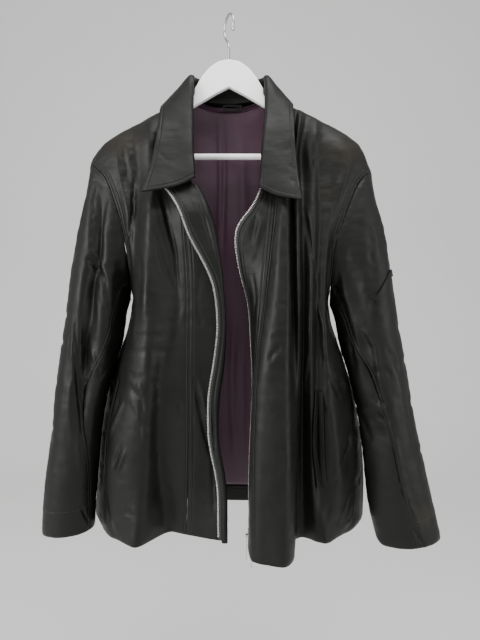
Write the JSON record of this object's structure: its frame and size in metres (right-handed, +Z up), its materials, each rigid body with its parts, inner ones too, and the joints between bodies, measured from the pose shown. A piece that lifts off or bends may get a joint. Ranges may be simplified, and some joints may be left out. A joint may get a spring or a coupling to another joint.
{
  "type": "leather jacket on hanger",
  "caption": "Man's hip-length black leather zip jacket hanging open on a white wooden hanger with a trouser bar and a steel hook.",
  "frame": {"origin": "inner top of the hanger's hook, where the hook rests on a rail", "axes": "+Z up, the jacket's open front faces -Y, the wearer's left is +X"},
  "size_m": [0.7139, 0.2027, 0.9395],
  "materials": {
    "shell_leather": "semi-gloss",
    "lining": "satin",
    "zip_tape": "matt",
    "zip_metal": "polished",
    "hanger_paint": "painted white, semi-gloss",
    "hook_steel": "bright"
  },
  "bodies": {
    "jacket": {"front_right_centre": "shell_leather", "front_right_side": "shell_leather", "front_right_facing": "shell_leather", "front_left_centre": "shell_leather", "front_left_side": "shell_leather", "back": "shell_leather", "back_lining": "lining", "back_hem_facing": "shell_leather", "sleeve_right_top": "shell_leather", "sleeve_right_under": "shell_leather", "sleeve_left_top": "shell_leather", "sleeve_left_under": "shell_leather", "collar": "shell_leather", "pocket_right_welt": "shell_leather", "pocket_left_front_welt": "shell_leather", "pocket_left_back_welt": "shell_leather", "sleeve_pocket_welt": "shell_leather", "neck_loop": "shell_leather", "zip_tape_right": "zip_tape", "zip_tape_left": "zip_tape", "zip_slider_upper": "zip_metal", "zip_slider_lower": "zip_metal", "hanger_arms": "hanger_paint", "hanger_bar": "hanger_paint", "hanger_hook": "hook_steel"},
    "pull_upper": {"zip_pull_upper": "zip_metal"},
    "pull_lower": {"zip_pull_lower": "zip_metal"}
  },
  "joints": [
    {"name": "pull_upper_hinge", "type": "hinge", "parent": "jacket", "child": "pull_upper", "pos_m": [0.0297, -0.065, -0.878], "axis": [0, 1, 0], "range_deg": [0, 150]},
    {"name": "pull_lower_hinge", "type": "hinge", "parent": "jacket", "child": "pull_lower", "pos_m": [0.0383, -0.065, -0.892], "axis": [0, -1, 0], "range_deg": [0, 90]}
  ]
}
